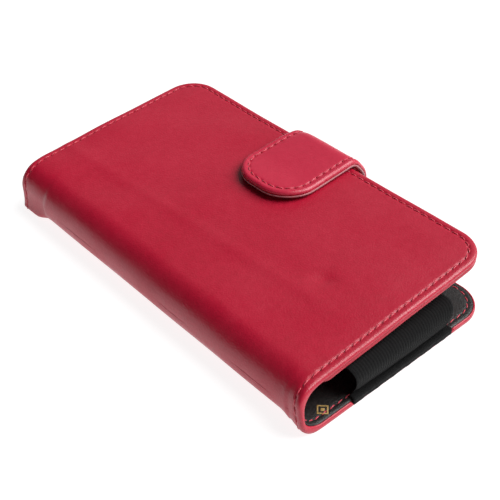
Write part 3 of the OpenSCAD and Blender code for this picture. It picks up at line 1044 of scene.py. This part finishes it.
def tape_mesh():
    """A flat tape that binds the elastic's foot and turns down over the case's near edge."""
    line = tape_line()
    out = outwards(line)
    across = np.linspace(0, 1, 90)
    x = tape_low.x + across * (tape_high.x - tape_low.x)
    inner = off_edges(across, 0.012)
    uneven = 0.05 * np.sin(across * 37) + 0.04 * np.sin(across * 83 + 1)
    under = -TAPE_T + 0.1 * (1 - inner)
    loops = []
    for k, place in enumerate(line):
        over = -0.12 * (1 - inner) + uneven * (0.3 + 0.7 * k / len(line))
        loops.append(band_loop(x, place, out[k], over, under))
    return sweep("elastic_binding_tape", np.stack(loops), black_tape, closed=False)


tape = tape_mesh()


# ---- foil mark ----

foil_low, foil_high = corners("foil_diamond")
FOIL_T = 0.07
FOIL_SIDE = 9  # points along each side of a diamond


def foil_mesh():
    """A plain diamond outline with a small solid diamond in it, pressed on the lining."""
    middle = (foil_low + foil_high) / 2
    reach = (foil_high.x - foil_low.x) / 2
    turns = np.arange(4 * FOIL_SIDE) / FOIL_SIDE
    diamond_x, diamond_y = (np.interp(turns, range(5), row) for row in ((1, 0, -1, 0, 1), (0, 1, 0, -1, 0)))
    loops, faces = [], []
    for outer, inner in ((1.0, 0.72), (0.34, 0.0)):
        levels = [(outer, 0), (outer - 0.03, FOIL_T), (inner + 0.03, FOIL_T), (inner, 0)]
        faces += tube_faces(len(loops) * len(turns), len(levels), len(turns))
        for share, height in levels:
            size = reach * share
            z = np.full(len(turns), foil_low.z + 0.02 + height)
            loops.append(np.column_stack([middle.x + size * diamond_x, middle.y + size * diamond_y, z]))
    piece = add_mesh("plain_foil_diamond", np.concatenate(loops), faces, gold_foil)
    piece.data.polygons.foreach_set("use_smooth", [False] * len(faces))
    return piece


foil = foil_mesh()


# ---- strap ----

# The strap comes out under the cover's edge, bows out as it rises and turns over onto the front cover.
ROOT_IN = 2.5
LEAN_OUT = math.radians(64)
LEAN_IN = math.radians(124)
TOP_R = 5.5
TOP_GAP = 0.3
over = math.pi + tilt
root_run = ROOT_IN + strap_x - root_r - free_x
root_x = strap_x - root_r + root_r * math.sin(LEAN_OUT)
root_z = strap_root_z + root_r * (1 - math.cos(LEAN_OUT))
tab_z = front_top_z + (STRAP_LEATHER_T + STRAP_LINING_T + TOP_GAP) / math.cos(tilt) - free_x * math.tan(tilt)
turn_x = TOP_R * (math.sin(over) - math.sin(LEAN_IN))
turn_z = TOP_R * (math.cos(LEAN_IN) - math.cos(over))
# Radius of the wall's bow that brings the end of the turn onto the tab's level
wall_r = tab_z + (root_x + turn_x) * math.tan(tilt) - root_z - turn_z
wall_r /= math.cos(LEAN_OUT) - math.cos(LEAN_IN) - math.tan(tilt) * (math.sin(LEAN_IN) - math.sin(LEAN_OUT))
turn_end_x = root_x + wall_r * (math.sin(LEAN_IN) - math.sin(LEAN_OUT)) + turn_x
root_arc = root_r * LEAN_OUT
wall_arc = wall_r * (LEAN_IN - LEAN_OUT)
top_arc = TOP_R * (over - LEAN_IN)
strap_path = Section((free_x - ROOT_IN, strap_root_z), 0, -1, [
    (root_run, 0), (root_arc, LEAN_OUT), (wall_arc, LEAN_IN - LEAN_OUT),
    (top_arc, over - LEAN_IN), (BEYOND, 0),
])
strap_mid = root_run + root_arc + wall_arc / 2
tab_flat_u = wall_arc / 2 + top_arc
tab_end_u = tab_flat_u + (turn_end_x - strap_tip_x) / math.cos(tilt)

TIP_LIFT = 0.9
TAB_CROWN, SPLAY, DROOP = 0.2, 1.5, 0.9
ROOT_T = 0.8  # thickness of the strap where it is sewn in

def tip_lift(u):
    """How far the strap's tip stands off the cover."""
    return TIP_LIFT * smooth(tab_end_u - 15, tab_end_u, u)


def place_tab(u, y, h):
    """The upper half of the strap, its near side splayed and its far side drooping at the turn."""
    crown = TAB_CROWN * (1 - ((y - strap_y) / (strap_w / 2)) ** 2) * smooth(0, 6, u)
    splay = SPLAY * bump(u, 4, 6) * smooth(0, 3, u) * smooth(strap_y0 + 9, strap_y0, y)
    droop = -DROOP * bump(u, tab_flat_u - 2, 5) * smooth(strap_y1 - 7, strap_y1, y)
    return strap_path.at(strap_mid + u, y, h + tip_lift(u) + crown + splay + droop)


def place_root(u, y, h):
    """The lower half of the strap. It thins where it goes in between the back leather and the lining."""
    thin = -(LEATHER_T - strap_root_z) + h * ROOT_T / (STRAP_LEATHER_T + STRAP_LINING_T)
    into = smooth(strap_mid - 4, strap_mid - 2.4, u)
    return strap_path.at(strap_mid - u, y, h * (1 - into) + thin * into)


STRAP_EDGE = edge(SEAM_INSET, [
    (1.45, 0.09), (1.1, 0.08), (0.78, -0.02), (0.46, -0.2), (0.2, -0.46), (0.04, -0.76), (0, -0.98),
    (0.06, -1.14), (0.25, -1.26), (0.6, -STRAP_LEATHER_T),
])
LINING_OVER = 0.3  # the strap's inner leather stands out this far past the outer one
STRAP_LINING_SEAM = SEAM_INSET + LINING_OVER
STRAP_LINING_EDGE = edge(STRAP_LINING_SEAM, [
    (1.6, 0), (1.1, -0.02), (0.7, -0.1), (0.35, -0.24), (0.1, -0.42), (0.0, -0.6), (0.04, -0.8), (0.2, -0.98),
    (0.5, -STRAP_LINING_T),
])
TIP_R = 12.5
tab_cut = Outline(0, tab_end_u, strap_y0, strap_y1, TIP_R, step=STRAP_STEP)
root_cut = Outline(0, strap_mid, strap_y0, strap_y1, 5.2, step=STRAP_STEP)

STRAP_DENT = (SEAM_INSET, 0.3)
# The strap's outer leather uses the lighter copy of the crimson leather, a painted sheen.
tab_leather = skin("strap_tab_outer", tab_cut, STRAP_EDGE, place_tab, strap_leather_painted_sheen, STRAP_DENT)
root_leather = skin("strap_wall_outer", root_cut, STRAP_EDGE, place_root, strap_leather_painted_sheen, STRAP_DENT)
tab_seam = [tab_cut.walk(SEAM_INSET)]
tab_thread = thread("strap_tab_stitches", tab_seam, place_tab, 0.02)

strap_depth = STRAP_LEATHER_T + STRAP_LINING_T
magnet_low, magnet_high = corners("strap_magnet")
magnet_x, magnet_y = (magnet_low.x + magnet_high.x) / 2, (magnet_low.y + magnet_high.y) / 2
magnet_u = tab_flat_u + (turn_end_x - magnet_x) / math.cos(tilt)
DISC_R, DISC_RISE = 6.6, 0.4


def tab_inner_face(u, y, h):
    """The tab's inner face, raised in a disc over its magnet."""
    over_magnet = smooth(DISC_R, DISC_R - 1.6, np.hypot(u - magnet_u, y - magnet_y))
    over_magnet = over_magnet * (DISC_RISE + tip_lift(u))
    return place_tab(u, y, -strap_depth - h - over_magnet)


root_inner_face = into_case(place_root, strap_depth)
# The inner leather's cut edge gets the pale edge colour, which is partly a painted highlight.
tab_lining = skin(
    "strap_tab_inner", inset(tab_cut, -LINING_OVER, step=STRAP_STEP), STRAP_LINING_EDGE, tab_inner_face,
    inner_leather, (STRAP_LINING_SEAM, THIN_DENT), edge_paint_and_highlight)
root_lining = skin(
    "strap_wall_inner", inset(root_cut, -LINING_OVER, step=STRAP_STEP), STRAP_LINING_EDGE, root_inner_face,
    inner_leather, (STRAP_LINING_SEAM, THIN_DENT), edge_paint_and_highlight)
tab_inner_thread = thread("strap_tab_inner_stitches", tab_seam, tab_inner_face)


def straight_seams(cut, until):
    """Both long seams of a strap half, from mid-wall to a distance along it."""
    sides = cut.y0 + SEAM_INSET, cut.y1 - SEAM_INSET
    return [(np.linspace((0, y), (until, y), 60), np.linspace(0, until, 60)) for y in sides]


root_seams = straight_seams(root_cut, strap_mid - 4.4)
root_thread = thread("strap_wall_stitches", root_seams, place_root, 0.02)
root_inner_thread = thread("strap_wall_inner_stitches", root_seams, root_inner_face)


# ---- the CAD nodes each piece stands for, and the bodies that carry the loose pieces ----

def metres(x, z):
    return x * MM, 0, z * MM


# Each fold's two bodies, and where its bend starts and ends
lower_fold = "back_cover", "spine", metres(spine_x + BACK_R, 0), metres(spine_x, BACK_R)
upper_fold = "spine", "front_cover", metres(spine_x, front_mid_z), metres(flat_x, flat_z)
root_fold = (
    "back_cover", "strap_wall", metres(strap_x - root_r, 0), metres(strap_x, strap_root_z + root_r))
turn_end_z = tab_z + turn_end_x * math.tan(tilt)
top_fold = (
    "strap_wall", "strap_tab", metres(turn_end_x - turn_x, turn_end_z - turn_z),
    metres(turn_end_x, turn_end_z))


def finish(nodes):
    """Hides the CAD nodes that a piece stands for."""
    if nodes:
        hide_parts(*nodes)


def bend(piece, fold, slot, *nodes):
    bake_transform(piece)
    finish(nodes)


def carry(piece, body, slot, *nodes):
    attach(piece, body)
    finish(nodes)


bend(back_leather, lower_fold, "red_leather", "back_leather", "spine_leather")
bend(back_lining, lower_fold, "black_lining", "back_lining", "spine_lining")
bend(back_thread, lower_fold, "red_thread", "back_stitching", "spine_stitching")
bend(back_inner_thread, lower_fold, "red_thread")
bend(front_leather, upper_fold, "red_leather", "front_leather")
bend(front_lining, upper_fold, "black_lining", "front_lining")
bend(front_thread, upper_fold, "red_thread", "front_stitching")
bend(root_leather, root_fold, "red_leather", "strap_wall_leather", "strap_anchor")
bend(root_lining, root_fold, "inner_leather", "strap_wall_lining")
bend(root_thread, root_fold, "red_thread", "strap_wall_stitching")
bend(root_inner_thread, root_fold, "red_thread")
bend(tab_leather, top_fold, "red_leather", "strap_tab_leather")
bend(tab_lining, top_fold, "inner_leather", "strap_tab_lining")
bend(tab_thread, top_fold, "red_thread", "strap_tab_stitching")
bend(tab_inner_thread, top_fold, "red_thread")

carry(front_panel, "front_cover", "inner_leather", "front_panel")
carry(panel_thread, "front_cover", "red_thread")
for sheet, stitches, node in pockets:
    carry(sheet, "front_cover", "inner_leather", node)
    carry(stitches, "front_cover", "red_thread")
carry(sleeve_frame, "back_cover", "inner_leather", "sleeve_frame")
carry(frame_thread, "back_cover", "red_thread")
carry(sleeve_wall, "back_cover", "black_lining", "sleeve_wall_left", "sleeve_wall_right", "sleeve_wall_end")
carry(elastic, "back_cover", "black_elastic", "elastic_band")
carry(tape, "back_cover", "black_tape", "elastic_tape")
carry(foil, "back_cover", "gold_foil", "foil_diamond")

CARRIED = {
    "back_board": fibre_board, "spine_board": fibre_board, "front_board": fibre_board,
    "snap_keeper": steel, "strap_magnet": magnet,
}
for node, material in CARRIED.items():
    mesh = frame["nodes"][node].data
    mesh.materials.clear()
    mesh.materials.append(material)


# ---- floor, light and camera ----

def floor():
    """A pale floor, six metres square, that glows enough to look white."""
    mesh = bpy.data.meshes.new("studio_floor")
    mesh.from_pydata([(-3, -3, 0), (3, -3, 0), (3, 3, 0), (-3, 3, 0)], [], [(0, 1, 2, 3)])
    n = Nodes(bpy.data.materials.new("pale_floor"))
    speckle = n.ramp(n.noise(40, 2), [(0.3, (0.29, 0.29, 0.29)), (0.7, (0.32, 0.32, 0.32))])
    mesh.materials.append(n.set(
        base_color=speckle, roughness=0.7, specular_ior_level=0.1, emission_color=(1, 1, 1, 1),
        emission_strength=0.87))
    placed("studio_floor", mesh)


def soft_sun(name, place, strength, spread):
    """An even light from a broad disc far away, in the direction of a place seen from the case."""
    light = bpy.data.lights.new(name, "SUN")
    light.energy = strength
    light.angle = math.radians(spread)
    lamp = placed(name, light)
    lamp.location = place
    lamp.rotation_euler = Vector(place).to_track_quat("Z", "Y").to_euler()


def world():
    """Dim light from all round, with a dark card beyond the spine and a pale one low behind the case."""
    n = Nodes(bpy.data.worlds.new("studio"), "BACKGROUND", "Generated")
    # Each card's direction, the cosines of the angle from it at its edge and its middle, and the light there
    cards = (
        ((-0.62, 0.59, 0.51), 0.2, 0.72, 0.27, 0.01),
        ((0.46, 0.81, 0.36), 0.84, 1.0, 0.0, 0.16),
    )
    lights = []
    for towards, *spread in cards:
        facing = n.add("ShaderNodeVectorMath", {0: n.place, 1: towards}, operation="DOT_PRODUCT")
        lights.append(n.spread(facing.outputs["Value"], *spread))
    bpy.context.scene.world = n.set(strength=n.math("ADD", *lights), color=(1, 1, 1, 1))


floor()
world()
soft_sun("key_softbox", (0.57, -0.41, 0.8), 3.95, 50)

# The camera's place in the row frame and its heading, from a fit of the covers' edges
CAMERA_PLACE = (spine_x - 132.7, near_y - 124, 216.6)
CAMERA_AZIMUTH = -41.9
CAMERA_ELEVATION = 39.03
CAMERA_LENS = 70.3


def camera():
    made = bpy.data.cameras.new("photo_camera")
    made.lens = CAMERA_LENS
    made.sensor_width = 36
    made.clip_start = 0.01
    eye = placed("photo_camera", made)
    eye.location = Vector(CAMERA_PLACE) * MM
    azimuth, elevation = math.radians(CAMERA_AZIMUTH), math.radians(CAMERA_ELEVATION)
    level = math.cos(elevation)
    heading = Vector((-math.sin(azimuth) * level, math.cos(azimuth) * level, -math.sin(elevation)))
    eye.rotation_euler = heading.to_track_quat("-Z", "Y").to_euler()
    bpy.context.scene.camera = eye


camera()
bpy.context.scene.view_settings.view_transform = "Standard"
